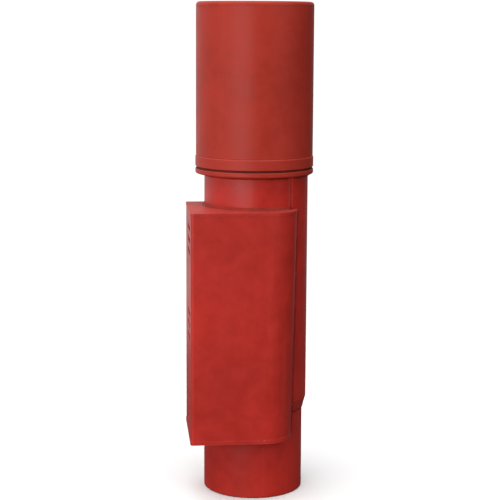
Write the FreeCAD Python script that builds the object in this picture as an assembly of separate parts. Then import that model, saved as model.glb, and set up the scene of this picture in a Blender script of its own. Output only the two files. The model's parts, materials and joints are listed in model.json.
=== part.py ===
"""Air-powered post driver: barrel, head, side muffler, mounting saddle and the hammer inside.

The origin is the centre of the barrel's bottom rim. +Z is up, -Y is the front, +X is the right.
All sizes are in millimetres.
"""
import FreeCAD, Part
import math
import os

V = FreeCAD.Vector

# --- Modelling ---
BACK_DEG = 90.0  # direction of the object's back, seen from above
OVERSHOOT = 1.0  # cutting shapes run this far past the faces they open
REACH = 0.1  # an edge this close to a face counts as lying on it

# --- Barrel and flange ---
BARREL_R = 63.5
BARREL_WALL = 6.35
BORE_R = BARREL_R - BARREL_WALL
BARREL_TOP_Z = 450.0
RIM_CHAMFER = 1.0
FLANGE_Z = 410.0
FLANGE_THICK = 6.35
FLANGE_R = 75.0
FLANGE_CHAMFER = 0.6
FLANGE_ROUND = 2.2

# --- Head ---
GASKET_THICK = 2.8
GASKET_SETBACK = 1.2
GASKET_PLAY = 1.0
COLLAR_H = 13.85
COLLAR_R = 75.0
COLLAR_EDGE = 1.6
HEAD_R = 74.25
HEAD_WALL = 5.0
HEAD_INNER_R = HEAD_R - HEAD_WALL
TOTAL_H = 625.0
TOP_PLATE_THICK = 6.35
TOP_EDGE_ROUND = 4.5
WELD_GROOVE = 0.4
THREAD_CLEARANCE = 0.05
GASKET_Z = FLANGE_Z + FLANGE_THICK
COLLAR_Z = GASKET_Z + GASKET_THICK
SHELL_Z = COLLAR_Z + COLLAR_H
TOP_PLATE_Z = TOTAL_H - TOP_PLATE_THICK

# --- Air inlet at the back of the head ---
INLET_Z = 560.0
INLET_BOSS_R = 19.0
INLET_THREAD_R = 12.0
INLET_BOSS_Y = (70.0, 94.0)
INLET_CHAMFER = 1.0
STRAINER_R = 14.0
STRAINER_LENGTH = 34.0
STRAINER_WALL = 1.0

# --- Saddle and pad that carry the driver ---
SADDLE_THICK = 4.8
SADDLE_R = BARREL_R + SADDLE_THICK
SADDLE_Z = 107.5
SADDLE_BEVEL_H = 14.0
SADDLE_LAND = 1.2
SADDLE_FRONT_DEG = -51.0
SADDLE_SPAN_DEG = 180.0
PAD_WIDTH = 84.0
PAD_Z = (180.0, 340.0)
PAD_BACK_Y = 82.0
PAD_EDGE = 3.0
PAD_HOLE_R = 5.1
PAD_HOLE_DEPTH = 15.0
PAD_HOLE_SPACING_X = 52.0
PAD_HOLE_SPACING_Z = 120.0

# --- Muffler casing around the barrel's front and left ---
MUFFLER_Z = 79.5
MUFFLER_TOP_Z = 369.5
MUFFLER_LEFT_X = -85.5
MUFFLER_FRONT_Y = -91.5
MUFFLER_BACK_Y = 30.0
MUFFLER_RIGHT_X_TOP = 48.6
MUFFLER_RIGHT_X_BOTTOM = 43.0
MUFFLER_CORNER_R = 38.0
MUFFLER_FOLD_R = 3.5
MUFFLER_SHEET = 2.5
MUFFLER_TOP_THICK = 3.0
MUFFLER_BOTTOM_THICK = 4.5
PLATE_OVERHANG = 0.5
BAFFLE_THICK = 2.0
BAFFLE_GAP = 0.3
BAFFLE_Z_UPPER = 285.0
BAFFLE_Z_LOWER = 170.0
BAFFLE_HOLE_R = 7.0
BAFFLE_HOLES_UPPER = ((-69.5, -75.5), (-49.5, -75.5), (-69.5, -55.5))
BAFFLE_HOLES_LOWER = ((-72.5, -8.0), (-72.5, 14.0), (0.0, -77.5), (20.0, -77.5))
SLOT_GROUPS = 3
SLOT_GROUP_PITCH = 107.5
SLOTS_IN_GROUP = 3
SLOT_PITCH = 15.0
SLOT_LENGTH = 54.0
SLOT_HEIGHT = 7.0
SLOT_CENTRE_Y = -47.0

# --- Cylinder inside the barrel ---
CYLINDER_R = 40.0
LINER_R = 46.0
LINER_FLANGE_R = 63.0
LINER_FLANGE_THICK = 6.0
BASE_Z = 232.0
BASE_TOP_Z = 262.0
BASE_R = BORE_R - THREAD_CLEARANCE
CYLINDER_FLOOR_Z = 252.0
STOP_RING_Z = 224.0
STOP_RING_INNER_R = 52.5
LINER_SEAL_Z = 255.0
LINER_SEAL_H = 4.0
LINER_SEAL_DEPTH = 1.4
LINER_GASKET_THICK = 1.5
CLAMP_RING_THICK = 10.0
CLAMP_RING_INNER_R = 58.5
LINER_PORT_Z = 352.0
LINER_PORT_R = 5.0
LINER_PORT_COUNT = 6
BARREL_PORT_Z = 318.0
BARREL_PORT_R = 8.0
BARREL_PORT_DEGS = (180.0, 225.0, 270.0)

# --- Valve chest on top of the cylinder ---
CHEST_R = 57.8
CHEST_Z = BARREL_TOP_Z + LINER_FLANGE_THICK
CHEST_H = 31.2
VALVE_CAVITY_R = 30.0
VALVE_CAVITY_DEPTH = 9.2
VALVE_SEAT_H = 2.0
INNER_SEAT_R = (8.0, 12.0)
OUTER_SEAT_R = (25.0, 30.0)
VALVE_THICK = 4.0
VALVE_R = 29.6
GUIDE_PIN_R = 5.0
GUIDE_PIN_DEPTH = 6.0
GUIDE_CLEARANCE = 0.06
COVER_THICK = 12.0
CHEST_TOP_Z = CHEST_Z + CHEST_H
COVER_TOP_Z = CHEST_TOP_Z + COVER_THICK
VALVE_FLOOR_Z = CHEST_TOP_Z - VALVE_CAVITY_DEPTH
DRIVE_PORT_R = 4.0
DRIVE_PORT_CIRCLE_R = 17.0
DRIVE_PORT_DEGS = (0.0, 90.0, 180.0, 270.0)
COVER_PORT_R = 5.0
COVER_PORT_DEGS = (45.0, 135.0, 225.0, 315.0)

# --- Tie bolts and the tube that feeds the cylinder's lower end ---
TIE_CIRCLE_R = 50.5
TIE_BOLT_R = 4.0
TIE_HOLE_R = 4.4
TIE_BOLT_DEGS = (45.0, 135.0, 225.0, 315.0)
TIE_BOLT_FOOT_Z = 242.0
WASHER_R = 7.2
WASHER_THICK = 1.6
BOLT_HEAD_ACROSS_FLATS = 13.0
BOLT_HEAD_H = 5.3
LIFT_TUBE_CIRCLE_R = 51.6
LIFT_TUBE_R = 5.0
LIFT_TUBE_WALL = 1.0
LIFT_TUBE_Z = (244.0, 470.0)
LIFT_PORT_R = 3.0
LIFT_PORT_CIRCLE_R = 34.0
LIFT_PORT_Z = 247.0
PASSAGE_ROOF = 1.5
PASSAGE_Z = CHEST_TOP_Z - LIFT_PORT_R - PASSAGE_ROOF

# --- Anvil, hammer and what holds them ---
ANVIL_Z = 178.2
ANVIL_HEAD_H = 26.0
ANVIL_HEAD_R = 56.2
ANVIL_SHANK_R = 20.0
ANVIL_TOP_Z = 262.0
ANVIL_EDGE = 2.0
BUSHING_R = 27.0
BUFFER_Z = 216.5
BUFFER_INNER_R = 30.0
BUFFER_OUTER_R = 52.0
GROOVE_Z = (172.0, 178.0)
GROOVE_R = 59.15
RETAINER_R = (52.0, 58.9)
RETAINER_GAP_DEG = 14.0
RETAINER_PLAY = 0.2
HAMMER_Z = 262.3
HAMMER_H = 100.0
HAMMER_R = 39.93
HAMMER_CHAMFER = 1.5
RING_GROOVE_R = 37.2
RING_GROOVE_H = 4.0
RING_R = 39.96
RING_PLAY = 0.1
RING_GAP_DEG = 4.0
RING_OFFSETS = (8.0, 88.0)


def cylinder(radius, z0, z1, x=0.0, y=0.0):
    """Upright solid cylinder between two heights."""
    return Part.makeCylinder(radius, z1 - z0, V(x, y, z0))


def ring(inner_r, outer_r, z0, z1):
    """Upright ring round the main axis."""
    return cylinder(outer_r, z0, z1).cut(cylinder(inner_r, z0, z1))


def turned(points, span_deg=360):
    """Solid of revolution round the main axis from (radius, z) corners, whole or part of a turn."""
    corners = [V(r, 0, z) for r, z in points]
    face = Part.Face(Part.makePolygon(corners + corners[:1]))
    return face.revolve(V(0, 0, 0), V(0, 0, 1), span_deg)


def radial_hole(radius, z, angle_deg, r0, r1):
    """Cylinder that lies along a radius, for drilling a port through a wall."""
    angle = math.radians(angle_deg)
    direction = V(math.cos(angle), math.sin(angle), 0)
    start = direction * r0 + V(0, 0, z)
    return Part.makeCylinder(radius, r1 - r0, start, direction)


def on_circle(circle_r, angle_deg):
    """X and Y of a point on a circle round the main axis."""
    angle = math.radians(angle_deg)
    return circle_r * math.cos(angle), circle_r * math.sin(angle)


def holes_on_circle(radius, circle_r, degs, z0, z1):
    """Upright cylinders at several angles on one circle."""
    return [cylinder(radius, z0, z1, *on_circle(circle_r, deg)) for deg in degs]


def drilled(shape, cutters):
    """The shape with every cutter taken out of it."""
    for cutter in cutters:
        shape = shape.cut(cutter)
    return shape


def sector(outer_r, z0, z1, start_deg, span_deg):
    """Upright wedge of a cylinder."""
    wedge = Part.makeCylinder(outer_r, z1 - z0, V(0, 0, z0), V(0, 0, 1), span_deg)
    wedge.rotate(V(0, 0, 0), V(0, 0, 1), start_deg)
    return wedge


# --- Barrel and head ---

def barrel_tube():
    """Barrel: open at the bottom, with the snap ring's groove and the exhaust ports in its wall."""
    tube = turned([
        (BORE_R, 0),
        (BARREL_R - RIM_CHAMFER, 0),
        (BARREL_R, RIM_CHAMFER),
        (BARREL_R, BARREL_TOP_Z),
        (BORE_R, BARREL_TOP_Z),
    ])
    tube = tube.cut(ring(BORE_R - OVERSHOOT, GROOVE_R, *GROOVE_Z))
    near, far = BORE_R - BARREL_WALL, BARREL_R + BARREL_WALL
    ports = [radial_hole(BARREL_PORT_R, BARREL_PORT_Z, deg, near, far) for deg in BARREL_PORT_DEGS]
    return drilled(tube, ports)


def flange_ring():
    """Thin flange welded round the barrel, rounded below, which the head screws down on."""
    top = FLANGE_Z + FLANGE_THICK
    plate = turned([
        (BARREL_R, FLANGE_Z),
        (FLANGE_R, FLANGE_Z),
        (FLANGE_R, top - FLANGE_CHAMFER),
        (FLANGE_R - FLANGE_CHAMFER, top),
        (BARREL_R, top),
    ])
    underneath = [edge for edge in plate.Edges if edge.BoundBox.ZMax < FLANGE_Z + REACH]
    rim = [edge for edge in underneath if edge.BoundBox.XMax > FLANGE_R - REACH]
    rim = [edge for edge in rim if edge.BoundBox.YLength > FLANGE_R]
    return plate.makeFillet(FLANGE_ROUND, rim)


def head_gasket():
    """Rubber gasket in the seam between flange and head, set back from the edge."""
    return ring(BARREL_R + GASKET_PLAY, FLANGE_R - GASKET_SETBACK, GASKET_Z, COLLAR_Z)


def head_collar():
    """Threaded collar at the foot of the head, a little prouder than the shell."""
    return turned([
        (BARREL_R + THREAD_CLEARANCE, COLLAR_Z),
        (COLLAR_R - FLANGE_CHAMFER, COLLAR_Z),
        (COLLAR_R, COLLAR_Z + FLANGE_CHAMFER),
        (COLLAR_R, SHELL_Z - COLLAR_EDGE),
        (HEAD_R - WELD_GROOVE, SHELL_Z),
        (BARREL_R + THREAD_CLEARANCE, SHELL_Z),
    ])


def head_shell():
    """Side wall of the head, with the hole for the air inlet."""
    shell = turned([
        (HEAD_INNER_R, SHELL_Z),
        (HEAD_R - WELD_GROOVE, SHELL_Z),
        (HEAD_R, SHELL_Z + WELD_GROOVE),
        (HEAD_R, TOP_PLATE_Z - WELD_GROOVE),
        (HEAD_R - WELD_GROOVE, TOP_PLATE_Z),
        (HEAD_INNER_R, TOP_PLATE_Z),
    ])
    return shell.cut(radial_hole(INLET_BOSS_R, INLET_Z, BACK_DEG, HEAD_INNER_R / 2, INLET_BOSS_Y[1]))


def head_top_plate():
    """Round plate that closes the head, with a rounded upper edge."""
    plate = turned([
        (0, TOP_PLATE_Z),
        (HEAD_R - WELD_GROOVE, TOP_PLATE_Z),
        (HEAD_R, TOP_PLATE_Z + WELD_GROOVE),
        (HEAD_R, TOTAL_H),
        (0, TOTAL_H),
    ])
    on_top = [edge for edge in plate.Edges if edge.BoundBox.ZMin > TOTAL_H - REACH]
    rim = [edge for edge in on_top if edge.BoundBox.XMax > HEAD_R - REACH]
    return plate.makeFillet(TOP_EDGE_ROUND, rim)


def head_clamp_ring():
    """Ring welded inside the head, which presses the cylinder's flange down on the barrel."""
    z0 = CHEST_Z + LINER_GASKET_THICK
    return ring(CLAMP_RING_INNER_R, HEAD_INNER_R, z0, z0 + CLAMP_RING_THICK)


def air_inlet_boss():
    """Threaded boss for the air hose, welded through the back of the head."""
    inner, outer = INLET_BOSS_Y
    boss = radial_hole(INLET_BOSS_R, INLET_Z, BACK_DEG, inner, outer)
    boss = boss.cut(radial_hole(INLET_THREAD_R, INLET_Z, BACK_DEG, inner - OVERSHOOT, outer + OVERSHOOT))
    at_end = [edge for edge in boss.Edges if edge.BoundBox.YMin > outer - REACH]
    rim = [edge for edge in at_end if edge.BoundBox.XMax > INLET_BOSS_R - REACH]
    return boss.makeChamfer(INLET_CHAMFER, rim)


def inlet_strainer():
    """Cup-shaped strainer on the inner end of the air inlet."""
    outer_end = INLET_BOSS_Y[0]
    inner_end = outer_end - STRAINER_LENGTH
    cup = radial_hole(STRAINER_R, INLET_Z, BACK_DEG, inner_end, outer_end)
    hollow_r = STRAINER_R - STRAINER_WALL
    hollow = radial_hole(hollow_r, INLET_Z, BACK_DEG, inner_end + STRAINER_WALL, outer_end)
    return cup.cut(hollow)


# --- Saddle and mounting pad ---

def mounting_saddle():
    """Half sleeve welded to the barrel's right and back, from under the flange down to a bevelled foot."""
    plate = turned([
        (BARREL_R, SADDLE_Z),
        (BARREL_R + SADDLE_LAND, SADDLE_Z),
        (SADDLE_R, SADDLE_Z + SADDLE_BEVEL_H),
        (SADDLE_R, FLANGE_Z),
        (BARREL_R, FLANGE_Z),
    ], SADDLE_SPAN_DEG)
    plate.rotate(V(0, 0, 0), V(0, 0, 1), SADDLE_FRONT_DEG)
    return plate


def pad_holes():
    """Cutters for the pad's four tapped holes, which end short of the saddle."""
    mid_z = (PAD_Z[0] + PAD_Z[1]) / 2
    holes = []
    for x in (-PAD_HOLE_SPACING_X / 2, PAD_HOLE_SPACING_X / 2):
        for z in (mid_z - PAD_HOLE_SPACING_Z / 2, mid_z + PAD_HOLE_SPACING_Z / 2):
            bottom = V(x, PAD_BACK_Y - PAD_HOLE_DEPTH, z)
            holes.append(Part.makeCylinder(PAD_HOLE_R, PAD_HOLE_DEPTH + OVERSHOOT, bottom, V(0, 1, 0)))
    return holes


def mounting_pad():
    """Flat pad on the back of the saddle, with four tapped holes for a mast or handle bracket."""
    front_y = BARREL_R / 2
    corner = V(-PAD_WIDTH / 2, front_y, PAD_Z[0])
    block = Part.makeBox(PAD_WIDTH, PAD_BACK_Y - front_y, PAD_Z[1] - PAD_Z[0], corner)
    back_edges = [edge for edge in block.Edges if edge.BoundBox.YMin > PAD_BACK_Y - REACH]
    block = block.makeChamfer(PAD_EDGE, back_edges)
    block = block.cut(cylinder(SADDLE_R, PAD_Z[0] - OVERSHOOT, PAD_Z[1] + OVERSHOOT))
    return drilled(block, pad_holes())


# --- Muffler ---

def right_x_at(z):
    """The casing narrows a little towards its lower end."""
    share = (z - MUFFLER_Z) / (MUFFLER_TOP_Z - MUFFLER_Z)
    return MUFFLER_RIGHT_X_BOTTOM + share * (MUFFLER_RIGHT_X_TOP - MUFFLER_RIGHT_X_BOTTOM)


def casing_wire(z, inset):
    """Closed outline of the casing at one height, moved inwards by inset. It closes inside the barrel."""
    left = MUFFLER_LEFT_X + inset
    front = MUFFLER_FRONT_Y + inset
    back = MUFFLER_BACK_Y - inset
    right = right_x_at(z) - inset
    fold = MUFFLER_FOLD_R - inset
    corner = MUFFLER_CORNER_R - inset
    diagonal = math.sqrt(0.5)
    inside_right = V(right, -BARREL_R / 4, z)
    inside_back = V(-BARREL_R / 4, back, z)
    edges = [
        Part.LineSegment(inside_back, V(left + fold, back, z)),
        Part.Arc(
            V(left + fold, back, z),
            V(left + fold * (1 - diagonal), back - fold * (1 - diagonal), z),
            V(left, back - fold, z),
        ),
        Part.LineSegment(V(left, back - fold, z), V(left, front + fold, z)),
        Part.Arc(
            V(left, front + fold, z),
            V(left + fold * (1 - diagonal), front + fold * (1 - diagonal), z),
            V(left + fold, front, z),
        ),
        Part.LineSegment(V(left + fold, front, z), V(right - corner, front, z)),
        Part.Arc(
            V(right - corner, front, z),
            V(right - corner * (1 - diagonal), front + corner * (1 - diagonal), z),
            V(right, front + corner, z),
        ),
        Part.LineSegment(V(right, front + corner, z), inside_right),
        Part.LineSegment(inside_right, inside_back),
    ]
    return Part.Wire([edge.toShape() for edge in edges])


def casing_block(z0, z1, inset):
    """Solid casing between two heights, less the barrel and the saddle."""
    block = Part.makeLoft([casing_wire(z0, inset), casing_wire(z1, inset)], True, True)
    block = block.cut(cylinder(BARREL_R, z0 - OVERSHOOT, z1 + OVERSHOOT))
    return block.cut(mounting_saddle())


def exhaust_slot(z):
    """Cutter for one round-ended exhaust slot in the casing's left wall."""
    straight = SLOT_LENGTH - SLOT_HEIGHT
    depth = MUFFLER_SHEET + 2 * OVERSHOOT
    x0 = MUFFLER_LEFT_X - OVERSHOOT
    y0 = SLOT_CENTRE_Y - straight / 2
    slot = Part.makeBox(depth, straight, SLOT_HEIGHT, V(x0, y0, z - SLOT_HEIGHT / 2))
    for y in (y0, y0 + straight):
        slot = slot.fuse(Part.makeCylinder(SLOT_HEIGHT / 2, depth, V(x0, y, z), V(1, 0, 0)))
    return slot.removeSplitter()


def slot_heights():
    """Height of every exhaust slot, in groups centred on the casing's mid height."""
    mid_z = (MUFFLER_Z + MUFFLER_TOP_Z) / 2
    heights = []
    for group in range(SLOT_GROUPS):
        group_z = mid_z + (group - (SLOT_GROUPS - 1) / 2) * SLOT_GROUP_PITCH
        for index in range(SLOTS_IN_GROUP):
            heights.append(group_z + (index - (SLOTS_IN_GROUP - 1) / 2) * SLOT_PITCH)
    return heights


def muffler_shell():
    """Folded sheet from the barrel's back left, round the left and the front, to the saddle."""
    z0 = MUFFLER_Z + MUFFLER_BOTTOM_THICK
    z1 = MUFFLER_TOP_Z - MUFFLER_TOP_THICK
    ends = [casing_wire(z0 - OVERSHOOT, MUFFLER_SHEET), casing_wire(z1 + OVERSHOOT, MUFFLER_SHEET)]
    shell = casing_block(z0, z1, 0.0).cut(Part.makeLoft(ends, True, True))
    return drilled(shell, [exhaust_slot(z) for z in slot_heights()])


def muffler_top_plate():
    """Plate that closes the casing's top, standing just proud of its sides."""
    return casing_block(MUFFLER_TOP_Z - MUFFLER_TOP_THICK, MUFFLER_TOP_Z, -PLATE_OVERHANG)


def muffler_bottom_plate():
    """Plate that closes the casing's lower end."""
    return casing_block(MUFFLER_Z, MUFFLER_Z + MUFFLER_BOTTOM_THICK, -PLATE_OVERHANG)


def muffler_baffle(z, hole_places):
    """Inner plate with holes, which makes the exhaust change direction."""
    plate = casing_block(z, z + BAFFLE_THICK, MUFFLER_SHEET + BAFFLE_GAP)
    top = z + BAFFLE_THICK + OVERSHOOT
    return drilled(plate, [cylinder(BAFFLE_HOLE_R, z - OVERSHOOT, top, x, y) for x, y in hole_places])


def muffler_baffle_upper():
    """Upper baffle, open in the front left corner."""
    return muffler_baffle(BAFFLE_Z_UPPER, BAFFLE_HOLES_UPPER)


def muffler_baffle_lower():
    """Lower baffle, open on the left beside the barrel and at the front."""
    return muffler_baffle(BAFFLE_Z_LOWER, BAFFLE_HOLES_LOWER)


# --- Cylinder ---

def base_stop_ring():
    """Ring welded inside the barrel, which the cylinder base stands on."""
    return ring(STOP_RING_INNER_R, BORE_R, STOP_RING_Z, BASE_Z)


def lift_tube_place():
    """X and Y of the lift air tube."""
    return on_circle(LIFT_TUBE_CIRCLE_R, BACK_DEG)


def tie_holes(z0, z1):
    """Cutters for the tie bolts' clearance holes between two faces."""
    return holes_on_circle(TIE_HOLE_R, TIE_CIRCLE_R, TIE_BOLT_DEGS, z0 - OVERSHOOT, z1 + OVERSHOOT)


def cylinder_base():
    """Lower end of the cylinder: it seats the liner, the anvil's bushing and the tie bolts."""
    top = BASE_TOP_Z + OVERSHOOT
    base = cylinder(BASE_R, BASE_Z, BASE_TOP_Z)
    base = base.cut(cylinder(LINER_R, CYLINDER_FLOOR_Z, top))
    base = base.cut(cylinder(BUSHING_R, BASE_Z - OVERSHOOT, CYLINDER_FLOOR_Z + OVERSHOOT))
    base = drilled(base, holes_on_circle(TIE_BOLT_R, TIE_CIRCLE_R, TIE_BOLT_DEGS, TIE_BOLT_FOOT_Z, top))
    base = base.cut(cylinder(LIFT_TUBE_R, LIFT_TUBE_Z[0], top, *lift_tube_place()))
    side_port = radial_hole(LIFT_PORT_R, LIFT_PORT_Z, BACK_DEG, LIFT_PORT_CIRCLE_R, LIFT_TUBE_CIRCLE_R)
    riser_place = on_circle(LIFT_PORT_CIRCLE_R, BACK_DEG)
    riser = cylinder(LIFT_PORT_R, LIFT_PORT_Z, CYLINDER_FLOOR_Z + OVERSHOOT, *riser_place)
    return drilled(base, [side_port, riser])


def liner_ports():
    """Cutters for the exhaust ports round the liner."""
    step = 360 / LINER_PORT_COUNT
    degs = [step * (index + 0.5) for index in range(LINER_PORT_COUNT)]
    near, far = CYLINDER_R - LINER_PORT_R, LINER_R + OVERSHOOT
    return [radial_hole(LINER_PORT_R, LINER_PORT_Z, deg, near, far) for deg in degs]


def cylinder_liner():
    """Tube that the hammer runs in, with a flange on the barrel's top and exhaust ports at mid stroke."""
    liner = turned([
        (CYLINDER_R, CYLINDER_FLOOR_Z),
        (LINER_R, CYLINDER_FLOOR_Z),
        (LINER_R, BARREL_TOP_Z),
        (LINER_FLANGE_R, BARREL_TOP_Z),
        (LINER_FLANGE_R, CHEST_Z),
        (CYLINDER_R, CHEST_Z),
    ])
    seal_top = LINER_SEAL_Z + LINER_SEAL_H
    seal_groove = ring(LINER_R - LINER_SEAL_DEPTH, LINER_R + OVERSHOOT, LINER_SEAL_Z, seal_top)
    liner = drilled(liner, [seal_groove] + liner_ports() + tie_holes(BARREL_TOP_Z, CHEST_Z))
    return liner.cut(
        cylinder(LIFT_TUBE_R, BARREL_TOP_Z - OVERSHOOT, CHEST_Z + OVERSHOOT, *lift_tube_place())
    )


def liner_base_seal():
    """Rubber seal between the liner's foot and the cylinder base."""
    return ring(LINER_R - LINER_SEAL_DEPTH, LINER_R, LINER_SEAL_Z, LINER_SEAL_Z + LINER_SEAL_H)


def liner_gasket():
    """Gasket between the liner's flange and the clamp ring."""
    return ring(CLAMP_RING_INNER_R, LINER_FLANGE_R, CHEST_Z, CHEST_Z + LINER_GASKET_THICK)


def lift_air_tube():
    """Tube that takes air from the valve down to the cylinder's lower end."""
    place = lift_tube_place()
    outer = cylinder(LIFT_TUBE_R, *LIFT_TUBE_Z, *place)
    return outer.cut(cylinder(LIFT_TUBE_R - LIFT_TUBE_WALL, *LIFT_TUBE_Z, *place))


# --- Valve ---

def valve_cavity():
    """Room the valve plate moves in, less the two seats that stand up from its floor."""
    cavity = cylinder(VALVE_CAVITY_R, VALVE_FLOOR_Z, CHEST_TOP_Z + OVERSHOOT)
    seat_top = VALVE_FLOOR_Z + VALVE_SEAT_H
    seats = [ring(inner, outer, VALVE_FLOOR_Z, seat_top) for inner, outer in (INNER_SEAT_R, OUTER_SEAT_R)]
    return drilled(cavity, seats)


def valve_chest():
    """Block on top of the cylinder, with the valve's cavity, two seats and the air passages."""
    below = CHEST_Z - OVERSHOOT
    chest = cylinder(CHEST_R, CHEST_Z, CHEST_TOP_Z).cut(valve_cavity())
    ports = holes_on_circle(DRIVE_PORT_R, DRIVE_PORT_CIRCLE_R, DRIVE_PORT_DEGS, below, CHEST_TOP_Z)
    chest = drilled(chest, ports + tie_holes(CHEST_Z, CHEST_TOP_Z))
    pin_hole = cylinder(GUIDE_PIN_R, VALVE_FLOOR_Z - GUIDE_PIN_DEPTH, CHEST_TOP_Z)
    tube_hole = cylinder(LIFT_TUBE_R, below, LIFT_TUBE_Z[1], *lift_tube_place())
    rise = cylinder(LIFT_PORT_R, LIFT_TUBE_Z[1] - OVERSHOOT, PASSAGE_Z, *lift_tube_place())
    passage = radial_hole(LIFT_PORT_R, PASSAGE_Z, BACK_DEG, OUTER_SEAT_R[0] + LIFT_PORT_R, LIFT_TUBE_CIRCLE_R)
    return drilled(chest, [pin_hole, tube_hole, rise, passage])


def valve_cover():
    """Lid of the valve chest, with the holes that let live air in."""
    below, above = CHEST_TOP_Z - OVERSHOOT, COVER_TOP_Z + OVERSHOOT
    ports = holes_on_circle(COVER_PORT_R, DRIVE_PORT_CIRCLE_R, COVER_PORT_DEGS, below, above)
    pin_hole = cylinder(GUIDE_PIN_R, below, CHEST_TOP_Z + GUIDE_PIN_DEPTH)
    cover = cylinder(CHEST_R, CHEST_TOP_Z, COVER_TOP_Z)
    return drilled(cover, ports + tie_holes(CHEST_TOP_Z, COVER_TOP_Z) + [pin_hole])


def valve_guide_pin():
    """Pin between chest and cover that the valve plate slides on."""
    return cylinder(GUIDE_PIN_R, VALVE_FLOOR_Z - GUIDE_PIN_DEPTH, CHEST_TOP_Z + GUIDE_PIN_DEPTH)


def valve_plate():
    """Steel disc that lifts off its seats to send the air to one end of the cylinder or the other."""
    z0 = VALVE_FLOOR_Z + VALVE_SEAT_H
    return ring(GUIDE_PIN_R + GUIDE_CLEARANCE, VALVE_R, z0, z0 + VALVE_THICK)


# --- Fasteners ---

def hexagon(across_flats, z0, z1, x, y):
    """Upright hexagonal prism."""
    corner_r = across_flats / math.sqrt(3)
    turns = [on_circle(corner_r, 60 * index) for index in range(6)]
    corners = [V(x + dx, y + dy, z0) for dx, dy in turns]
    face = Part.Face(Part.makePolygon(corners + corners[:1]))
    return face.extrude(V(0, 0, z1 - z0))


def tie_bolts():
    """Four long bolts that hold cover, chest, liner and base together."""
    bolts = []
    head_z = COVER_TOP_Z + WASHER_THICK
    for deg in TIE_BOLT_DEGS:
        x, y = on_circle(TIE_CIRCLE_R, deg)
        shank = cylinder(TIE_BOLT_R, TIE_BOLT_FOOT_Z, head_z, x, y)
        head = hexagon(BOLT_HEAD_ACROSS_FLATS, head_z, head_z + BOLT_HEAD_H, x, y)
        bolts.append(shank.fuse(head))
    return Part.makeCompound(bolts)


def tie_bolt_washers():
    """Washers under the tie bolts' heads."""
    top = COVER_TOP_Z + WASHER_THICK
    discs = holes_on_circle(WASHER_R, TIE_CIRCLE_R, TIE_BOLT_DEGS, COVER_TOP_Z, top)
    return Part.makeCompound([drilled(disc, tie_holes(COVER_TOP_Z, top)) for disc in discs])


# --- Anvil and hammer ---

def anvil_bushing():
    """Bronze bushing that guides the anvil's shank."""
    return ring(ANVIL_SHANK_R + GUIDE_CLEARANCE, BUSHING_R, BASE_Z, CYLINDER_FLOOR_Z)


def anvil_buffer():
    """Rubber ring that takes the anvil's rebound."""
    return ring(BUFFER_INNER_R, BUFFER_OUTER_R, BUFFER_Z, BASE_Z)


def anvil():
    """Striking block: the post stands against its underside and the hammer hits its shank."""
    head_top = ANVIL_Z + ANVIL_HEAD_H
    return turned([
        (0, ANVIL_Z),
        (ANVIL_HEAD_R - ANVIL_EDGE, ANVIL_Z),
        (ANVIL_HEAD_R, ANVIL_Z + ANVIL_EDGE),
        (ANVIL_HEAD_R, head_top - ANVIL_EDGE),
        (ANVIL_HEAD_R - ANVIL_EDGE, head_top),
        (ANVIL_SHANK_R + ANVIL_EDGE, head_top),
        (ANVIL_SHANK_R, head_top + ANVIL_EDGE),
        (ANVIL_SHANK_R, ANVIL_TOP_Z - ANVIL_EDGE),
        (ANVIL_SHANK_R - ANVIL_EDGE, ANVIL_TOP_Z),
        (0, ANVIL_TOP_Z),
    ])


def anvil_retaining_ring():
    """Snap ring in the barrel's groove, which keeps the anvil from falling out."""
    z0 = GROOVE_Z[0] + RETAINER_PLAY
    z1 = GROOVE_Z[1] - RETAINER_PLAY
    gap_start = BACK_DEG - RETAINER_GAP_DEG / 2
    gap = sector(GROOVE_R, z0 - OVERSHOOT, z1 + OVERSHOOT, gap_start, RETAINER_GAP_DEG)
    return ring(*RETAINER_R, z0, z1).cut(gap)


def hammer():
    """Free hammer that the air drives down on the anvil, with grooves for its rings."""
    top = HAMMER_Z + HAMMER_H
    body = turned([
        (0, HAMMER_Z),
        (HAMMER_R - HAMMER_CHAMFER, HAMMER_Z),
        (HAMMER_R, HAMMER_Z + HAMMER_CHAMFER),
        (HAMMER_R, top - HAMMER_CHAMFER),
        (HAMMER_R - HAMMER_CHAMFER, top),
        (0, top),
    ])
    for offset in RING_OFFSETS:
        z0 = HAMMER_Z + offset
        body = body.cut(ring(RING_GROOVE_R, HAMMER_R + OVERSHOOT, z0, z0 + RING_GROOVE_H))
    return body


def piston_rings():
    """Two split rings that seal the hammer in the liner."""
    rings = []
    for offset in RING_OFFSETS:
        z0 = HAMMER_Z + offset + RING_PLAY
        z1 = HAMMER_Z + offset + RING_GROOVE_H - RING_PLAY
        gap = sector(RING_R + OVERSHOOT, z0 - OVERSHOOT, z1 + OVERSHOOT, offset, RING_GAP_DEG)
        rings.append(ring(RING_GROOVE_R + RING_PLAY, RING_R, z0, z1).cut(gap))
    return Part.makeCompound(rings)


NODES = [
    barrel_tube,
    flange_ring,
    head_gasket,
    head_collar,
    head_shell,
    head_top_plate,
    head_clamp_ring,
    air_inlet_boss,
    inlet_strainer,
    mounting_saddle,
    mounting_pad,
    muffler_shell,
    muffler_top_plate,
    muffler_bottom_plate,
    muffler_baffle_upper,
    muffler_baffle_lower,
    base_stop_ring,
    cylinder_base,
    cylinder_liner,
    liner_base_seal,
    liner_gasket,
    lift_air_tube,
    valve_chest,
    valve_cover,
    valve_guide_pin,
    valve_plate,
    tie_bolts,
    tie_bolt_washers,
    anvil_bushing,
    anvil_buffer,
    anvil,
    anvil_retaining_ring,
    hammer,
    piston_rings,
]


def main():
    """Write one STEP file for each node."""
    os.makedirs("parts", exist_ok=True)
    for make in NODES:
        shape = make()
        shape.exportStep(f"parts/{make.__name__}.step")
        print(f"{make.__name__}: {len(shape.Solids)} solid(s), {shape.Volume / 1000:.1f} cm3")


main()
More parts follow.
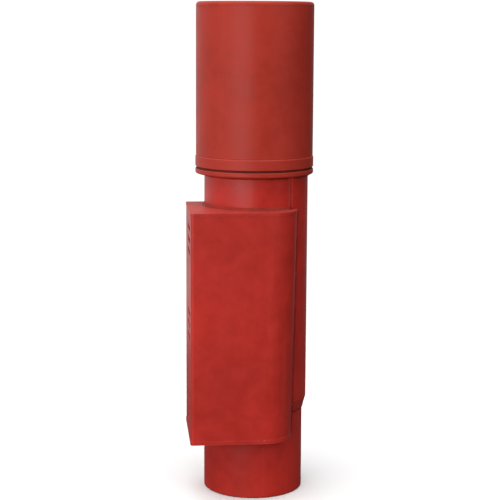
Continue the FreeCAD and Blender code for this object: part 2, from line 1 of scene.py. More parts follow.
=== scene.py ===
"""Looks of the post driver: a finish for every CAD node, weld beads, threads, and the studio."""
import json
import math

import bpy
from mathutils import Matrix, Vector, noise


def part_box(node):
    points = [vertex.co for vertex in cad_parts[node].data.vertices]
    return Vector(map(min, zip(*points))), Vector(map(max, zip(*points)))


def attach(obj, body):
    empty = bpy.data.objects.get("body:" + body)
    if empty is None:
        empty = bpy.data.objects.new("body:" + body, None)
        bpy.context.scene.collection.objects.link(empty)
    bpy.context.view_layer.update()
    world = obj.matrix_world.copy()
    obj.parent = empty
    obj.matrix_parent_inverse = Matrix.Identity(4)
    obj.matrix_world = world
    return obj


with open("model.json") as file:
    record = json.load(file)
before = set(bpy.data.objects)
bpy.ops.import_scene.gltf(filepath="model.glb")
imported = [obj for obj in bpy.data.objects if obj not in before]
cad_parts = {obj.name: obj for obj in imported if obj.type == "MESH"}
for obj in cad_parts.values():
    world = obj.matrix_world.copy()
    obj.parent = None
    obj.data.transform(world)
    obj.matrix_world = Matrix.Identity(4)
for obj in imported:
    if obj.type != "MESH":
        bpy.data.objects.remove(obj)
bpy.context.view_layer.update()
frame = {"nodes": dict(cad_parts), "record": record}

BODY = "driver_body"
UP = Vector((0, 0, 1))


# --- Places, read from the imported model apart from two. Lengths are in metres throughout. ---

SADDLE_BEVEL_H = 0.014   # height of the bevel on the saddle's foot, from the CAD source
SADDLE_LAND = 0.0012     # thickness of the saddle at its very foot, from the CAD source

BARREL_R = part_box("barrel_tube")[1].x
SADDLE_LOW, SADDLE_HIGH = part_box("mounting_saddle")
SADDLE_R = SADDLE_HIGH.x
SADDLE_BEVEL_TOP = SADDLE_LOW.z + SADDLE_BEVEL_H
SADDLE_FOOT_R = BARREL_R + SADDLE_LAND
SADDLE_FRONT = math.asin(SADDLE_LOW.y / SADDLE_R)
SADDLE_BACK = SADDLE_FRONT + math.pi
FLANGE_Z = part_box("flange_ring")[0].z
HEAD_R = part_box("head_shell")[1].x
CASING_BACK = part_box("muffler_shell")[1].y
TOP_PLATE_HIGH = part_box("muffler_top_plate")[1]
BOTTOM_PLATE_LOW, BOTTOM_PLATE_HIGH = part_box("muffler_bottom_plate")
PAD_LOW, PAD_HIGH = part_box("mounting_pad")
BOSS_LOW, BOSS_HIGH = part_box("air_inlet_boss")
BOSS_R = BOSS_HIGH.x
BOSS_Z = (BOSS_LOW.z + BOSS_HIGH.z) / 2
MOUNTS = {mount["name"]: mount for mount in frame["record"]["mounts"]}


# --- Node materials ---

class Graph:
    """One material under construction, with a short call for each kind of node it needs."""

    def __init__(self, name):
        self.material = bpy.data.materials.new(name)
        self.material.use_nodes = True
        self.tree = self.material.node_tree
        self.shader = self.tree.nodes["Principled BSDF"]
        self.place = self.node("ShaderNodeTexCoord").outputs["Object"]
        self.normal = self.node("ShaderNodeNewGeometry").outputs["Normal"]

    def node(self, kind, **settings):
        """New node with some of its settings."""
        made = self.tree.nodes.new(kind)
        for key, value in settings.items():
            setattr(made, key, value)
        return made

    def put(self, socket, value):
        """Links an output to a socket, or sets the socket to a plain value."""
        if isinstance(value, bpy.types.NodeSocket):
            self.tree.links.new(value, socket)
        else:
            socket.default_value = value

    def stretched(self, scale):
        """The place, with each axis scaled by its own amount."""
        mapping = self.node("ShaderNodeMapping")
        self.put(mapping.inputs["Vector"], self.place)
        mapping.inputs["Scale"].default_value = scale
        return mapping.outputs["Vector"]

    def noise(self, scale, detail=2.0, roughness=0.5, distortion=0.0, vector=None):
        """Soft random pattern, about scale blots to the metre."""
        made = self.node("ShaderNodeTexNoise")
        self.put(made.inputs["Vector"], vector or self.place)
        made.inputs["Scale"].default_value = scale
        made.inputs["Detail"].default_value = detail
        made.inputs["Roughness"].default_value = roughness
        made.inputs["Distortion"].default_value = distortion
        return made.outputs["Fac"]

    def cells(self, scale):
        """Distance to the nearest of many scattered points."""
        made = self.node("ShaderNodeTexVoronoi", feature="F1")
        self.put(made.inputs["Vector"], self.place)
        made.inputs["Scale"].default_value = scale
        return made.outputs["Distance"]

    def math(self, operation, first, second, clamp=False):
        """One arithmetic operation on two outputs or numbers."""
        made = self.node("ShaderNodeMath", operation=operation, use_clamp=clamp)
        self.put(made.inputs[0], first)
        self.put(made.inputs[1], second)
        return made.outputs[0]

    def times(self, first, second):
        """Product of two outputs or numbers."""
        return self.math("MULTIPLY", first, second)

    def between(self, value, low, high, to=(0.0, 1.0)):
        """Value rescaled from low..high to the range given, smoothly and clamped."""
        made = self.node("ShaderNodeMapRange", interpolation_type="SMOOTHSTEP")
        self.put(made.inputs["Value"], value)
        made.inputs["From Min"].default_value = low
        made.inputs["From Max"].default_value = high
        made.inputs["To Min"].default_value, made.inputs["To Max"].default_value = to
        return made.outputs["Result"]

    def mix(self, share, first, second):
        """The first colour at share 0 and the second at 1."""
        made = self.node("ShaderNodeMix", data_type="RGBA")
        self.put(made.inputs["Factor"], share)
        self.put(made.inputs["A"], self.colour(first))
        self.put(made.inputs["B"], self.colour(second))
        return made.outputs["Result"]

    @staticmethod
    def colour(value):
        """A plain colour with its alpha added, or an output as it is."""
        return (*value, 1.0) if isinstance(value, tuple) and len(value) == 3 else value

    def facing_up(self):
        """1 on level upper faces and 0 on upright ones."""
        split = self.node("ShaderNodeSeparateXYZ")
        self.put(split.inputs[0], self.normal)
        return self.between(split.outputs["Z"], 0.35, 0.95)

    def edges(self, radius):
        """1 along sharp edges and 0 on open faces."""
        rounded = self.node("ShaderNodeBevel", samples=4)
        rounded.inputs["Radius"].default_value = radius
        dot = self.node("ShaderNodeVectorMath", operation="DOT_PRODUCT")
        self.put(dot.inputs[0], rounded.outputs["Normal"])
        self.put(dot.inputs[1], self.normal)
        return self.between(dot.outputs["Value"], 0.99, 0.80)

    def crevices(self, distance):
        """1 deep in corners and 0 in the open."""
        made = self.node("ShaderNodeAmbientOcclusion", samples=6)
        made.inputs["Distance"].default_value = distance
        return self.between(made.outputs["AO"], 0.75, 0.25)

    def bump(self, height, distance, normal=None):
        """The normal over a relief that is distance deep, on top of another relief if given."""
        made = self.node("ShaderNodeBump")
        made.inputs["Strength"].default_value = 1.0
        made.inputs["Distance"].default_value = distance
        self.put(made.inputs["Height"], height)
        if normal is not None:
            self.put(made.inputs["Normal"], normal)
        return made.outputs["Normal"]

    def finish(self, colour, roughness, normal, **fixed):
        """Connects the shader, and sets what is the same all over straight on its sockets."""
        self.put(self.shader.inputs["Base Color"], self.colour(colour))
        self.put(self.shader.inputs["Roughness"], roughness)
        self.put(self.shader.inputs["Normal"], normal)
        for key, value in fixed.items():
            self.shader.inputs[key.replace("_", " ")].default_value = value
        return self.material


# Colours, linear; a pair is the darker and the lighter shade of one finish
PAINT = ((0.36, 0.019, 0.013), (0.48, 0.025, 0.017))
# The head's red is browner and darker than the rest; part of its darkness is painted shade, for the
# head getting less light than the parts below it
HEAD_PAINT = ((0.31, 0.026, 0.016), (0.395, 0.033, 0.020))
PAINT_FADED = (0.56, 0.085, 0.060)
# Dark red of grime and of painted shade, in corners and on the weld beads
DIRT_AND_SHADE = (0.075, 0.017, 0.012)
DUST = (0.52, 0.24, 0.20)
PRIMER = (0.17, 0.13, 0.12)
BARE_STEEL = (0.33, 0.31, 0.30)
IRON = ((0.14, 0.14, 0.145), (0.26, 0.26, 0.27))
IRON_OIL = (0.05, 0.042, 0.036)
# The darker of the gauze's pair, near black between the wires, is painted shade: the shaded inside
# of the inlet seen through the openings
GAUZE = ((0.02, 0.019, 0.018), (0.55, 0.54, 0.52))
GAUZE_STAIN = (0.12, 0.09, 0.07)

# Reach of wear, grime and painted shade
PAINT_EDGE = 0.0016    # how far from an edge the enamel is thin and pale
METAL_EDGE = 0.0010    # the same for bare metal
RUBBER_EDGE = 0.0006   # the same for rubber
GRIME_AND_SHADE_REACH = 0.007    # how far out of a corner the grime and painted shade come
CHIPPED = 0.775        # level of the chip pattern above which the primer shows
CHIPPED_BARE = 0.825   # level above which bare steel shows

# Depths of relief
WAVE_DEPTH = 0.0011    # slow waviness of the sheet and the tubes
PEEL_DEPTH = 0.00007   # orange peel of the sprayed enamel
CHIP_DEPTH = 0.00012
TOOL_DEPTH = 0.00004
PIT_DEPTH = 0.0004
RUBBER_DEPTH = 0.00008
IRON_DEPTH = 0.00022
GAUZE_DEPTH = 0.0005

# Pattern scales
GAUZE_SCALE = 160.0
ALONG_AXIS = (900.0, 900.0, 40.0)   # marks drawn out along the tool's axis
ROUND_AXIS = (40.0, 40.0, 900.0)    # marks that run round it


def painted(name, paint=PAINT, wear=1.0, waviness=1.0, painted_shade=0.0, sheen=0.22):
    """Satin enamel sprayed on steel: clouded red, pale edges, small chips, grime and painted shade
    in the corners.
    """
    g = Graph(name)
    clouds = g.noise(8.0, detail=3.0, roughness=0.55)
    mottle = g.noise(55.0, detail=4.0, roughness=0.6, distortion=0.3)
    grain = g.noise(1400.0, detail=2.0)
    tone = g.math("ADD", g.times(clouds, 0.65), g.times(mottle, 0.35))
    colour = g.mix(g.between(tone, 0.34, 0.66), *paint)
    colour = g.mix(g.between(grain, 0.62, 0.80, to=(0.0, 0.10)), colour, PAINT_FADED)

    streaks = g.noise(30.0, detail=3.0, roughness=0.6, vector=g.stretched((1.0, 1.0, 0.07)))
    colour = g.mix(g.between(streaks, 0.58, 0.82, to=(0.0, 0.14)), colour, PAINT_FADED)

    edge_patches = g.between(g.noise(130.0, detail=3.0), 0.30, 0.62, to=(0.25, 1.0))
    edge = g.times(g.edges(PAINT_EDGE), edge_patches)
    colour = g.mix(g.times(edge, 0.38 * wear), colour, PAINT_FADED)

    dust_patches = g.between(g.noise(40.0, detail=4.0, roughness=0.6), 0.30, 0.75, to=(0.35, 1.0))
    top = g.times(g.facing_up(), dust_patches)
    colour = g.mix(g.times(top, 0.14), colour, DUST)

    # Grime and painted shade: darker red deep in corners and recesses, where shade falls, in
    # patches
    grime_and_shade_patches = g.between(g.noise(90.0, detail=3.0), 0.30, 0.70, to=(0.35, 0.85))
    grime_and_shade = g.times(g.crevices(GRIME_AND_SHADE_REACH), grime_and_shade_patches)
    # On the weld beads the enamel is also darker all over, in patches: painted shade for the joints
    # they lie in
    grime_and_shade = g.math("MAXIMUM", grime_and_shade, g.between(mottle, 0.25, 0.75, to=(1.3 * painted_shade, 0.7 * painted_shade)))
    colour = g.mix(grime_and_shade, colour, DIRT_AND_SHADE)

    specks = g.noise(260.0, detail=3.0, roughness=0.65)
    chip_field = g.math("ADD", specks, g.times(edge, 0.17 * wear))
    chips = g.between(chip_field, CHIPPED, CHIPPED + 0.025)
    colour = g.mix(g.times(chips, 0.85), colour, PRIMER)
    bare = g.between(chip_field, CHIPPED_BARE, CHIPPED_BARE + 0.020)
    colour = g.mix(bare, colour, BARE_STEEL)

    roughness = g.between(mottle, 0.25, 0.75, to=(0.34, 0.47))
    roughness = g.math("ADD", roughness, g.times(top, 0.16))
    roughness = g.math("ADD", roughness, g.times(grime_and_shade, 0.22), clamp=True)

    waves = g.bump(g.noise(13.0, detail=1.0), WAVE_DEPTH * waviness)
    peel = g.bump(g.noise(430.0, detail=1.5, roughness=0.4), PEEL_DEPTH, waves)
    normal = g.bump(g.math("SUBTRACT", 1.0, chips), CHIP_DEPTH, peel)
    return g.finish(
        colour, roughness, normal,
        Specular_IOR_Level=sheen, Coat_Weight=sheen / 8, Coat_Roughness=0.25,
    )


def turned_steel(name, light, dark, roughness, stretch, pits=0.0):
    """Machined metal with fine tool marks, stains and small pits."""
    g = Graph(name)
    marks = g.noise(1.0, detail=3.0, roughness=0.6, vector=g.stretched(stretch))
    stains = g.noise(34.0, detail=4.0, roughness=0.6, distortion=0.4)
    colour = g.mix(g.between(stains, 0.35, 0.70), light, dark)
    colour = g.mix(g.between(marks, 0.40, 0.65, to=(0.0, 0.25)), colour, dark)
    colour = g.mix(g.times(g.edges(METAL_EDGE), 0.4), colour, light)
    dents = g.between(g.cells(150.0), 0.05, 0.30)
    colour = g.mix(g.times(g.math("SUBTRACT", 1.0, dents), 0.5 * pits), colour, dark)
    rough = g.between(stains, 0.30, 0.75, to=(roughness - 0.07, roughness + 0.12))
    tool = g.bump(marks, TOOL_DEPTH)
    normal = g.bump(dents, PIT_DEPTH * pits, tool)
    return g.finish(colour, rough, normal, Metallic=1.0)


def moulded_rubber(name, dark, pale, edge, sheen):
    """Rubber with an uneven bloom, paler edges and a fine matt texture."""
    g = Graph(name)
    bloom = g.noise(70.0, detail=4.0, roughness=0.6)
    colour = g.mix(g.between(bloom, 0.35, 0.75), dark, pale)
    colour = g.mix(g.times(g.edges(RUBBER_EDGE), 0.4), colour, edge)
    roughness = g.between(bloom, 0.30, 0.75, to=(0.62, 0.82))
    normal = g.bump(g.noise(1600.0, detail=2.0), RUBBER_DEPTH)
    return g.finish(colour, roughness, normal, Specular_IOR_Level=sheen)


def cast_grey(name):
    """Grey iron with a sandy cast skin and oil stains."""
    g = Graph(name)
    skin = g.noise(520.0, detail=3.0, roughness=0.7)
    oil = g.noise(26.0, detail=3.0, roughness=0.6, distortion=0.5)
    colour = g.mix(g.between(skin, 0.30, 0.70), *IRON)
    colour = g.mix(g.between(oil, 0.50, 0.72, to=(0.0, 0.55)), colour, IRON_OIL)
    roughness = g.between(oil, 0.45, 0.72, to=(0.62, 0.36))
    normal = g.bump(skin, IRON_DEPTH)
    return g.finish(colour, roughness, normal, Metallic=0.75)


def woven_mesh(name):
    """Fine wire gauze, darker between the wires: painted shade."""
    g = Graph(name)
    weave = []
    for axis in ("X", "Z"):
        wave = g.node("ShaderNodeTexWave", bands_direction=axis, wave_profile="SIN")
        g.put(wave.inputs["Vector"], g.place)
        wave.inputs["Scale"].default_value = GAUZE_SCALE
        weave.append(wave.outputs["Fac"])
    wires = g.math("MAXIMUM", *weave)
    colour = g.mix(g.between(wires, 0.45, 0.85), *GAUZE)
    stains = g.between(g.noise(60.0, detail=3.0), 0.5, 0.75, to=(0.0, 0.4))
    colour = g.mix(stains, colour, GAUZE_STAIN)
    roughness = g.between(wires, 0.3, 0.9, to=(0.75, 0.35))
    return g.finish(colour, roughness, g.bump(wires, GAUZE_DEPTH), Metallic=0.7)


MATERIALS = {
    "head": painted("satin_enamel_head", HEAD_PAINT, wear=0.8, waviness=0.35, sheen=0.11),
    "barrel": painted("satin_enamel_barrel", wear=0.9, waviness=0.35),
    "casing": painted("satin_enamel_casing", wear=1.0, waviness=1.0),
    "fittings": painted("satin_enamel_fittings", wear=1.3, waviness=0.5),
    # weld beads darker all over: painted shade for the joints they lie in
    "weld": painted("satin_enamel_weld", wear=0.3, waviness=0.2, painted_shade=0.4, sheen=0.08),
    "rubber": moulded_rubber(
        "moulded_rubber", (0.018, 0.010, 0.009), (0.050, 0.032, 0.028), (0.09, 0.08, 0.075),
        sheen=0.5),
    "oversprayed": moulded_rubber(
        "oversprayed_rubber", (0.075, 0.009, 0.006), (0.13, 0.014, 0.010), (0.16, 0.020, 0.014),
        sheen=0.12),
    "ground": turned_steel(
        "ground_steel", (0.60, 0.60, 0.61), (0.34, 0.33, 0.33), 0.26, ROUND_AXIS),
    "struck": turned_steel(
        "struck_steel", (0.48, 0.47, 0.46), (0.20, 0.18, 0.17), 0.38, ALONG_AXIS, pits=1.0),
    "spring": turned_steel(
        "oiled_spring_steel", (0.30, 0.30, 0.32), (0.10, 0.10, 0.11), 0.30, ALONG_AXIS),
    "bolt": turned_steel(
        "zinc_plated_steel", (0.52, 0.51, 0.47), (0.30, 0.30, 0.30), 0.36, ALONG_AXIS),
    "thread": turned_steel(
        "cut_thread_steel", (0.50, 0.49, 0.48), (0.24, 0.22, 0.21), 0.34, ALONG_AXIS),
    "iron": cast_grey("cast_grey_iron"),
    "bronze": turned_steel(
        "turned_bronze", (0.66, 0.45, 0.20), (0.34, 0.21, 0.09), 0.32, ALONG_AXIS),
    "gauze": woven_mesh("wire_gauze"),
}
FINISH = {
    "barrel_tube": "barrel",
    "flange_ring": "head",
    "head_gasket": "oversprayed",
    "head_collar": "head",
    "head_shell": "head",
    "head_top_plate": "head",
    "head_clamp_ring": "fittings",
    "air_inlet_boss": "fittings",
    "inlet_strainer": "gauze",
    "mounting_saddle": "barrel",
    "mounting_pad": "fittings",
    "muffler_shell": "casing",
    "muffler_top_plate": "casing",
    "muffler_bottom_plate": "casing",
    "muffler_baffle_upper": "casing",
    "muffler_baffle_lower": "casing",
    "base_stop_ring": "fittings",
    "cylinder_base": "iron",
    "cylinder_liner": "ground",
    "liner_base_seal": "rubber",
    "liner_gasket": "rubber",
    "lift_air_tube": "ground",
    "valve_chest": "iron",
    "valve_cover": "iron",
    "valve_guide_pin": "ground",
    "valve_plate": "ground",
    "tie_bolts": "bolt",
    "tie_bolt_washers": "bolt",
    "anvil_bushing": "bronze",
    "anvil_buffer": "rubber",
    "anvil": "struck",
    "anvil_retaining_ring": "spring",
    "hammer": "struck",
    "piston_rings": "spring",
}


def dress(obj, finish):
    """Gives an object one of the materials above, and nothing else."""
    obj.data.materials.clear()
    obj.data.materials.append(MATERIALS[finish])


def dress_cad_nodes():
    """Gives every CAD node its finish."""
    for name, obj in frame["nodes"].items():
        dress(obj, FINISH[name])


# --- Weld beads ---

WELD_PITCH = 0.0024          # from one ripple to the next
WELD_STEP = WELD_PITCH / 5   # from one cross-section to the next
WELD_WIDTH = 0.0036          # half the bead's width, across the corner
WELD_RISE = 0.0024           # half its thickness, out of the corner
WELD_SIDES = 12              # corners of a cross-section
WELD_RIPPLE = 0.075          # height of a ripple, as a share of the bead
WELD_CHEVRON = 0.30          # bend of a ripple at the bead's middle, as a share of the pitch
WELD_UNEVEN = 0.10           # slow change of size, as a share of the bead
WELD_UNEVEN_SCALE = 95       # its pattern's scale
WELD_SEED_GAP = 7.3          # keeps two beads' patterns apart
WELD_END = 0.0022            # length of the taper at an end
WELD_END_SIZE = 0.35         # size at the very end, as a share of the bead
WELD_TUCK = 0.0014           # how much deeper the bead under the saddle's thin foot lies
WELD_MIN_ROWS = 8


def bead_section(point, tangent, out, travelled, left, seed):
    """Corners of a weld bead's cross-section, so far from its start and from its end."""
    side = tangent.cross(out).normalized()
    pattern_place = Vector((travelled * WELD_UNEVEN_SCALE, seed * WELD_SEED_GAP, 0))
    uneven = 1 + WELD_UNEVEN * noise.noise(pattern_place)
    into_taper = math.sqrt(max(0.0, min(travelled, left) / WELD_END))
    taper = min(1.0, WELD_END_SIZE + (1 - WELD_END_SIZE) * into_taper)
    corners = []
    for index in range(WELD_SIDES):
        turn = 2 * math.pi * index / WELD_SIDES
        phase = travelled / WELD_PITCH + WELD_CHEVRON * math.sin(turn)
        ripple = 1 + WELD_RIPPLE * (abs(2 * (phase % 1.0) - 1) - 0.5)
        size = uneven * taper * ripple
        across = side * (math.cos(turn) * WELD_WIDTH * size)
        corners.append(point + across + out * (math.sin(turn) * WELD_RISE * size))
    return corners


def weld(name, where, length, seed, closed=False):
    """Rippled bead along a line. where(share) gives a point on it and the way the bead bulges."""
    count = max(WELD_MIN_ROWS, round(length / WELD_STEP))
    shares = [index / count for index in range(count + (0 if closed else 1))]
    vertices = []
    for share in shares:
        point, out = where(share)
        ahead, _ = where(share + 0.5 / count)
        behind, _ = where(share - 0.5 / count)
        tangent = (ahead - behind).normalized()
        travelled = share * length
        left = WELD_END if closed else length - travelled
        out = (out - tangent * out.dot(tangent)).normalized()
        vertices.extend(bead_section(point, tangent, out, travelled, left, seed))
    faces = []
    rows = len(shares)
    for row in range(rows if closed else rows - 1):
        following = (row + 1) % rows
        for index in range(WELD_SIDES):
            after = (index + 1) % WELD_SIDES
            faces.append((
                row * WELD_SIDES + index,
                row * WELD_SIDES + after,
                following * WELD_SIDES + after,
                following * WELD_SIDES + index,
            ))
    if not closed:
        faces.append(tuple(reversed(range(WELD_SIDES))))
        faces.append(tuple(range((rows - 1) * WELD_SIDES, rows * WELD_SIDES)))
    add_piece(name, vertices, faces, "weld")


def add_piece(name, vertices, faces, finish):
    """New mesh object that rides on the driver's body."""
    mesh = bpy.data.meshes.new(name)
    mesh.from_pydata(vertices, [], faces)
    mesh.validate()
    mesh.polygons.foreach_set("use_smooth", [True] * len(mesh.polygons))
    mesh.update()
    obj = bpy.data.objects.new(name, mesh)
    bpy.context.scene.collection.objects.link(obj)
    dress(obj, finish)
    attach(obj, BODY)


def radial(angle):
    """Unit vector away from the main axis."""
    return Vector((math.cos(angle), math.sin(angle), 0))


def arc(radius, z, start, stop, lean):
    """A level arc in the corner between an upright wall and a level face, and its length."""
    def where(share):
        away = radial(start + (stop - start) * share)
        return away * radius + UP * z, away + lean
    return where, abs(stop - start) * radius


def upright(points, out):
    """A straight line between two points in a corner whose open side is out, and its length."""
    first, last = points
    return (lambda share: (first.lerp(last, share), out)), (last - first).length


def at_x(x, radius, z, side=-1):
    """Point at a given X on a cylinder round the main axis, in front or behind."""
    return Vector((x, side * math.sqrt(radius ** 2 - x ** 2), z))


def around_boss(share):
    """Corner between the air inlet's boss and the head."""
    turn = 2 * math.pi * share
    x = BOSS_R * math.cos(turn)
    point = Vector((x, math.sqrt(HEAD_R ** 2 - x ** 2), BOSS_Z + BOSS_R * math.sin(turn)))
    away_from_boss = Vector((math.cos(turn), 0, math.sin(turn)))
    away_from_head = Vector((point.x, point.y, 0)).normalized()
    return point, away_from_boss + away_from_head


def casing_right_x(z):
    """X of the casing's right wall, which leans a little."""
    low, high = BOTTOM_PLATE_HIGH.x, TOP_PLATE_HIGH.x
    share = (z - BOTTOM_PLATE_LOW.z) / (TOP_PLATE_HIGH.z - BOTTOM_PLATE_LOW.z)
    return low + (high - low) * share


def add_welds():
    """A bead along every line where two outer plates are joined."""
    down, above = -UP, UP
    casing_back = math.pi - math.asin(TOP_PLATE_HIGH.y / BARREL_R)
    foot_front = -math.acos(casing_right_x(BOTTOM_PLATE_LOW.z) / BARREL_R)
    casing_top_z, casing_foot_z = TOP_PLATE_HIGH.z, BOTTOM_PLATE_LOW.z
    saddle_foot_z = SADDLE_LOW.z
    turn = 2 * math.pi

    lines = {
        "weld_flange_to_barrel": arc(BARREL_R, FLANGE_Z, SADDLE_BACK, SADDLE_FRONT + turn, down),
        "weld_flange_to_saddle": arc(SADDLE_R, FLANGE_Z, SADDLE_FRONT, SADDLE_BACK, down),
        "weld_casing_top": arc(BARREL_R, casing_top_z, casing_back, SADDLE_FRONT + turn, above),
        "weld_casing_foot": arc(BARREL_R, casing_foot_z, casing_back, foot_front + turn, down),
        "weld_saddle_foot": arc(BARREL_R - WELD_TUCK, saddle_foot_z, foot_front, SADDLE_BACK, down),
    }

    front_corner = radial(SADDLE_FRONT) * BARREL_R
    front_out = radial(SADDLE_FRONT) + radial(SADDLE_FRONT - math.pi / 2)
    lines["weld_saddle_front"] = upright(
        (front_corner + UP * casing_top_z, front_corner + UP * FLANGE_Z), front_out)

    back_corner = radial(SADDLE_BACK) * BARREL_R
    back_out = radial(SADDLE_BACK) + radial(SADDLE_BACK + math.pi / 2)
    lines["weld_saddle_back"] = upright(
        (back_corner + UP * saddle_foot_z, back_corner + UP * FLANGE_Z), back_out)

    wall_top = at_x(casing_right_x(casing_top_z), SADDLE_R, casing_top_z)
    wall_foot = at_x(casing_right_x(SADDLE_BEVEL_TOP), SADDLE_R, SADDLE_BEVEL_TOP)
    right_out = Vector((1, 0, 0)) + Vector((wall_top.x, wall_top.y, 0)).normalized()
    lines["weld_casing_right"] = upright((wall_foot, wall_top), right_out)

    bevel_foot = at_x(casing_right_x(saddle_foot_z), SADDLE_FOOT_R, saddle_foot_z)
    lines["weld_casing_right_bevel"] = upright((bevel_foot, wall_foot), right_out)

    short_top = at_x(casing_right_x(saddle_foot_z), BARREL_R, saddle_foot_z)
    short_foot = at_x(casing_right_x(casing_foot_z), BARREL_R, casing_foot_z)
    lines["weld_casing_right_foot"] = upright((short_foot, short_top), right_out)

    back_point = Vector((-math.sqrt(BARREL_R ** 2 - CASING_BACK ** 2), CASING_BACK, 0))
    lines["weld_casing_back"] = upright(
        (back_point + UP * casing_foot_z, back_point + UP * casing_top_z),
        Vector((0, 1, 0)) + back_point.normalized())

    pad_angle = math.acos(PAD_HIGH.x / SADDLE_R)
    lines["weld_pad_top"] = arc(SADDLE_R, PAD_HIGH.z, pad_angle, math.pi - pad_angle, above)
    lines["weld_pad_foot"] = arc(SADDLE_R, PAD_LOW.z, pad_angle, math.pi - pad_angle, down)
    for side, word in ((1, "right"), (-1, "left")):
        low = at_x(side * PAD_HIGH.x, SADDLE_R, PAD_LOW.z, side=1)
        high = at_x(side * PAD_HIGH.x, SADDLE_R, PAD_HIGH.z, side=1)
        out = Vector((side, 0, 0)) + Vector((low.x, low.y, 0)).normalized()
        lines[f"weld_pad_{word}"] = upright((low, high), out)

    for seed, (name, (where, length)) in enumerate(lines.items()):
        weld(name, where, length, seed)
    weld("weld_inlet_boss", around_boss, turn * BOSS_R, len(lines), closed=True)


# --- Threads ---

THREAD_STEPS = 40        # cross-sections to a turn
THREAD_SINK = 0.0002     # how deep in the wall a crest starts and ends
THREAD_PROFILE = ((-0.42, 0), (-0.08, 1), (0.08, 1), (0.42, 0))  # shares of pitch and height
INLET_PITCH = 0.001814   # G 3/4, 14 threads to the inch
INLET_HEIGHT = 0.00035
INLET_START = 0.0012     # from the boss's face to the first turn
INLET_SPARE = 0.002      # how much shorter than the boss the thread is
BOLT_PITCH = 0.00175     # M12
BOLT_HEIGHT = 0.00030
BOLT_START = 0.0009      # from the pad's face to the first turn
BOLT_REACH = 0.0125


def thread(name, mouth, radius, reach, pitch, height):
    """Helical thread crest inside a hole along Y, from its mouth inwards."""
    rows = int(reach / pitch * THREAD_STEPS)
    vertices = []
    for row in range(rows + 1):
        angle = 2 * math.pi * row / THREAD_STEPS
        y = mouth.y - reach * row / rows
        away = Vector((math.cos(angle), 0, math.sin(angle)))
        fade = min(1.0, row / THREAD_STEPS, (rows - row) / THREAD_STEPS)
        for offset, rise in THREAD_PROFILE:
            crest = radius + THREAD_SINK - (rise * height + THREAD_SINK) * fade
            vertices.append(Vector((mouth.x, y + offset * pitch, mouth.z)) + away * crest)
    corners = len(THREAD_PROFILE)
    faces = []
    for row in range(rows):
        for index in range(corners - 1):
            corner = row * corners + index
            faces.append((corner, corner + 1, corner + corners + 1, corner + corners))
    add_piece(name, vertices, faces, "thread")


def add_threads():
    """Thread crests in the air inlet and the pad's four holes, placed by the record's mounts."""
    inlet = MOUNTS["air_inlet"]
    centre = Vector(inlet["pos_m"])
    thread(
        "thread_air_inlet",
        mouth=Vector((centre.x, BOSS_HIGH.y - INLET_START, centre.z)),
        radius=inlet["dims"]["r_mm"] / 1000,
        reach=BOSS_HIGH.y - BOSS_LOW.y - INLET_SPARE,
        pitch=INLET_PITCH,
        height=INLET_HEIGHT,
    )
    bolts = MOUNTS["mounting_bolts"]
    half_x = bolts["dims"]["spacing_x_mm"] / 2000
    half_z = bolts["dims"]["spacing_y_mm"] / 2000
    middle = Vector(bolts["pos_m"])
    places = [(x, z) for x in (-half_x, half_x) for z in (-half_z, half_z)]
    for number, (x, z) in enumerate(places, start=1):
        thread(
            f"thread_mounting_{number}",
            mouth=Vector((middle.x + x, middle.y - BOLT_START, middle.z + z)),
            radius=bolts["dims"]["hole_r_mm"] / 1000,
            reach=BOLT_REACH,
            pitch=BOLT_PITCH,
            height=BOLT_HEIGHT,
        )


# --- Studio ---

WHITE = (1, 1, 1, 1)
FLOOR_R = 0.9
FLOOR_SIDES = 64
FLOOR_GAP = 0.0002                 # keeps the floor's face off the barrel's lower rim
FLOOR_DEPTH = 0.0001               # depth of its relief
FLOOR_PALE = ((0.88, 0.88, 0.88), (0.90, 0.90, 0.90))
FLOOR_BOUNCE = (0.04, 0.04, 0.04)  # the floor's colour to light that comes off the object

WORLD_SEEN = 1.06                  # strength of the white behind the object
WORLD_BRIGHT_WAY = (-0.78, 0.52, 0.35)
WORLD_SPREAD = {"From Min": -0.3, "From Max": 0.9, "To Min": 0.04, "To Max": 0.85}

LIGHT_TARGET = (0.0, 0.0, 0.33)
AREA_LIGHTS = {                    # place, width and height, watts
    "key": ((-1.20, -2.08, 0.48), (1.7, 0.85), 29.5),
    "strip": ((-2.0, -1.15, 0.52), (0.35, 0.95), 3.0),
    "fill": ((1.75, -1.75, 1.45), (2.0, 1.4), 26.0),
}
SUN_WAY = (0.12, 0.20, -1.0)
SUN_SPREAD = 70.0                  # degrees
SUN_STRENGTH = 2.6

CAMERA_PLACE = (-0.1704, -1.8, 0.600)
CAMERA_TURN = (90 - 8.473, -0.30, -5.207)  # degrees
CAMERA_SENSOR = 36.0               # mm
CAMERA_LENS = 102.6                # mm
CAMERA_SHIFT_Y = -0.032
CAMERA_CLIP = (0.05, 100.0)


def floor_material():
    """Pale sheet that throws little of its light back up at the object."""
    g = Graph("pale_floor")
    mottle = g.noise(3.0, detail=3.0)
    colour = g.mix(g.between(mottle, 0.3, 0.7), *FLOOR_PALE)
    seen = g.node("ShaderNodeLightPath").outputs["Is Camera Ray"]
    colour = g.mix(seen, FLOOR_BOUNCE, colour)
    roughness = g.between(mottle, 0.3, 0.7, to=(0.75, 0.85))
    return g.finish(colour, roughness, g.bump(g.noise(60.0), FLOOR_DEPTH))


def add_floor():
    """A pale disc just under the driver's foot."""
    angles = [2 * math.pi * side / FLOOR_SIDES for side in range(FLOOR_SIDES)]
    corners = [radial(angle) * FLOOR_R - UP * FLOOR_GAP for angle in angles]
    mesh = bpy.data.meshes.new("floor")
    mesh.from_pydata(corners, [], [tuple(range(FLOOR_SIDES))])
    floor = bpy.data.objects.new("floor", mesh)
    bpy.context.scene.collection.objects.link(floor)
    mesh.materials.append(floor_material())


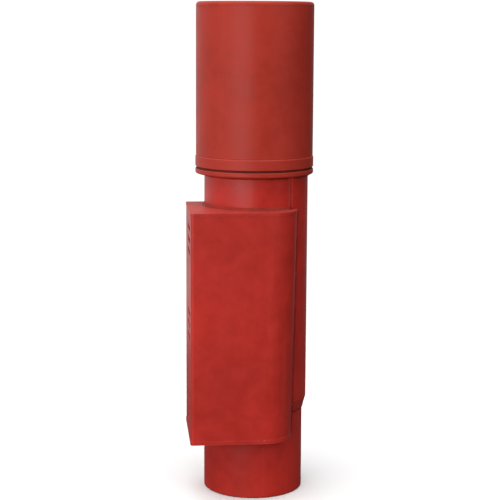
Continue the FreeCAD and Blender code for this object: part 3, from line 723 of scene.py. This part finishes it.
def add_world():
    """White to the eye; as a light source, brighter from the left than from the right."""
    world = bpy.data.worlds.new("studio")
    bpy.context.scene.world = world
    world.use_nodes = True
    tree = world.node_tree
    tree.nodes.clear()
    out = tree.nodes.new("ShaderNodeOutputWorld")
    seen = tree.nodes.new("ShaderNodeBackground")
    seen.inputs["Color"].default_value = WHITE
    seen.inputs["Strength"].default_value = WORLD_SEEN
    lit = tree.nodes.new("ShaderNodeBackground")
    lit.inputs["Color"].default_value = WHITE
    place = tree.nodes.new("ShaderNodeTexCoord")
    dot = tree.nodes.new("ShaderNodeVectorMath")
    dot.operation = "DOT_PRODUCT"
    dot.inputs[1].default_value = Vector(WORLD_BRIGHT_WAY).normalized()
    tree.links.new(place.outputs["Generated"], dot.inputs[0])
    spread = tree.nodes.new("ShaderNodeMapRange")
    for socket, value in WORLD_SPREAD.items():
        spread.inputs[socket].default_value = value
    tree.links.new(dot.outputs["Value"], spread.inputs["Value"])
    tree.links.new(spread.outputs["Result"], lit.inputs["Strength"])
    path = tree.nodes.new("ShaderNodeLightPath")
    mixed = tree.nodes.new("ShaderNodeMixShader")
    tree.links.new(path.outputs["Is Camera Ray"], mixed.inputs[0])
    tree.links.new(lit.outputs[0], mixed.inputs[1])
    tree.links.new(seen.outputs[0], mixed.inputs[2])
    tree.links.new(mixed.outputs[0], out.inputs["Surface"])


def add_light(data, way):
    """Puts a light in the scene, shining the given way."""
    light = bpy.data.objects.new(data.name, data)
    light.rotation_mode = "QUATERNION"
    light.rotation_quaternion = way.to_track_quat("-Z", "Y")
    bpy.context.scene.collection.objects.link(light)
    return light


def add_lights():
    """Three soft panels aimed at the driver's middle, and a broad glow from above."""
    for name, (place, size, power) in AREA_LIGHTS.items():
        panel = bpy.data.lights.new(name, "AREA")
        panel.shape = "RECTANGLE"
        panel.size, panel.size_y = size
        panel.energy = power
        add_light(panel, Vector(LIGHT_TARGET) - Vector(place)).location = place
    sun = bpy.data.lights.new("overhead", "SUN")
    sun.angle = math.radians(SUN_SPREAD)
    sun.energy = SUN_STRENGTH
    add_light(sun, Vector(SUN_WAY))


def add_camera():
    """Looks from the photograph's height and direction."""
    data = bpy.data.cameras.new("camera")
    data.sensor_width = CAMERA_SENSOR
    data.lens = CAMERA_LENS
    data.shift_y = CAMERA_SHIFT_Y
    data.clip_start, data.clip_end = CAMERA_CLIP
    camera = bpy.data.objects.new("camera", data)
    camera.location = CAMERA_PLACE
    camera.rotation_euler = [math.radians(angle) for angle in CAMERA_TURN]
    bpy.context.scene.collection.objects.link(camera)
    bpy.context.scene.camera = camera


bpy.context.scene.view_settings.view_transform = "Standard"
add_camera()
add_world()
add_lights()
add_floor()
dress_cad_nodes()
add_welds()
add_threads()
